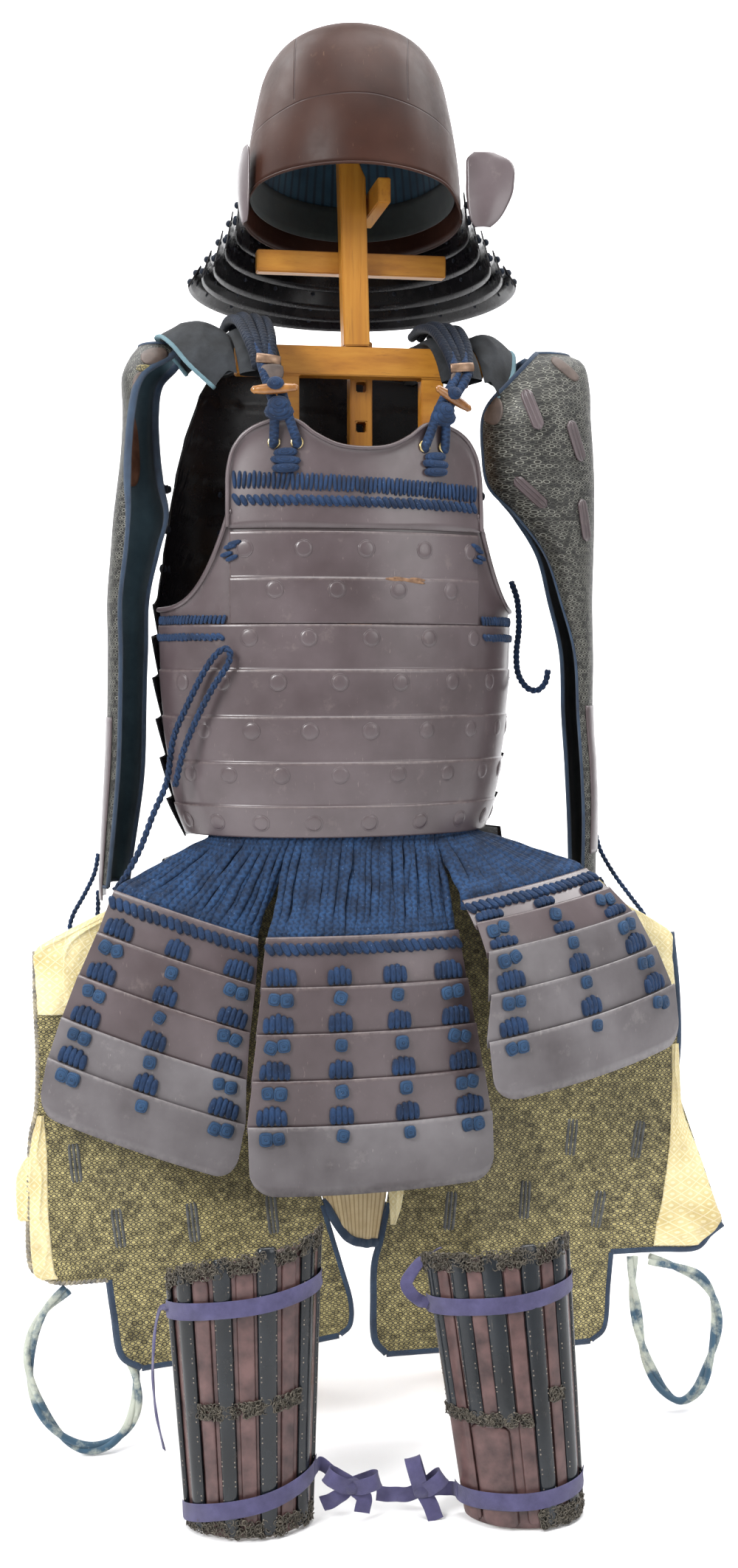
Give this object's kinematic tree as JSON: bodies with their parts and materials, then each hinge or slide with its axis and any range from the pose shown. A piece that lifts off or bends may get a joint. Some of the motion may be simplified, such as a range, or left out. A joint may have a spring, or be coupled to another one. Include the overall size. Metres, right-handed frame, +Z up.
{
  "type": "samurai armour on a wooden stand",
  "caption": "Laced plate armour with helmet, neck guard, mail sleeves, hanging tassets, mail thigh guard and splint shin guards, set up on a plain wooden stand.",
  "frame": {"origin": "on the floor under the middle of the set, measured without its free cords", "axes": "+Z up, the front of the armour faces -Y, +X on the right of a viewer in front"},
  "size_m": [0.7851, 0.6376, 1.567],
  "materials": {
    "wood": "honey-coloured planed wood with a thin varnish",
    "lacquer": "purple-brown lacquer on iron, half glossy, worn at the edges",
    "black_lacquer": "black lacquer on iron, glossy",
    "lining": "indigo striped cloth inside the helmet",
    "dark_cloth": "padded navy-black cloth with a light blue edge",
    "lace": "braided indigo silk cord",
    "mail": "small blackened iron rings on dark cloth",
    "gold_mail": "small iron rings and plates on gold brown cloth",
    "brocade": "cream and gold woven cloth",
    "pale_cloth": "light blue cloth tube, softly filled",
    "ribbon": "faded purple-blue woven ribbon",
    "splint": "black iron splints and red-brown leather on mail"
  },
  "bodies": {
    "root": {"stand_trestle": "wood", "stand_post": "wood", "stand_yoke": "wood", "stand_head_post": "wood", "stand_head_bar": "wood", "stand_crown_bar": "wood", "stand_waist_rail": "wood", "thigh_guard_left": "gold_mail", "thigh_guard_right": "gold_mail", "thigh_gusset": "brocade", "thigh_loop_left": "pale_cloth", "thigh_loop_right": "pale_cloth", "cuirass_front": "lacquer", "cuirass_top_plate": "lacquer", "helmet_bowl": "lacquer", "helmet_wing_left": "lacquer", "helmet_wing_right": "lacquer", "cuirass_back": "black_lacquer", "tasset_rear_left": "black_lacquer", "tasset_rear_right": "black_lacquer", "neck_lame_1": "black_lacquer", "neck_lame_2": "black_lacquer", "neck_lame_3": "black_lacquer", "neck_lame_4": "black_lacquer", "neck_lame_5": "black_lacquer", "shoulder_strap_left": "dark_cloth", "shoulder_strap_right": "dark_cloth", "shoulder_pad_left": "dark_cloth", "shoulder_pad_right": "dark_cloth", "strap_cord_left": "lace", "strap_cord_right": "lace", "lacing_left": "lace", "lacing_centre": "lace", "lacing_right": "lace", "waist_cord": "lace", "side_cord": "lace", "wrist_cord_left": "lace", "wrist_cord_right": "lace", "helmet_lining": "lining", "sleeve_left": "mail", "sleeve_right": "mail", "tasset_left_1": "lacquer", "tasset_left_2": "lacquer", "tasset_left_3": "lacquer", "tasset_left_4": "lacquer", "tasset_left_5": "lacquer", "tasset_centre_1": "lacquer", "tasset_centre_2": "lacquer", "tasset_centre_3": "lacquer", "tasset_centre_4": "lacquer", "tasset_centre_5": "lacquer", "tasset_right_1": "lacquer", "tasset_right_2": "lacquer", "tasset_right_3": "lacquer", "tasset_right_4": "lacquer", "tasset_right_5": "lacquer", "shin_guard_left": "splint", "shin_guard_right": "splint", "shin_tie_left": "ribbon", "shin_tie_right": "ribbon"}
  },
  "joints": []
}
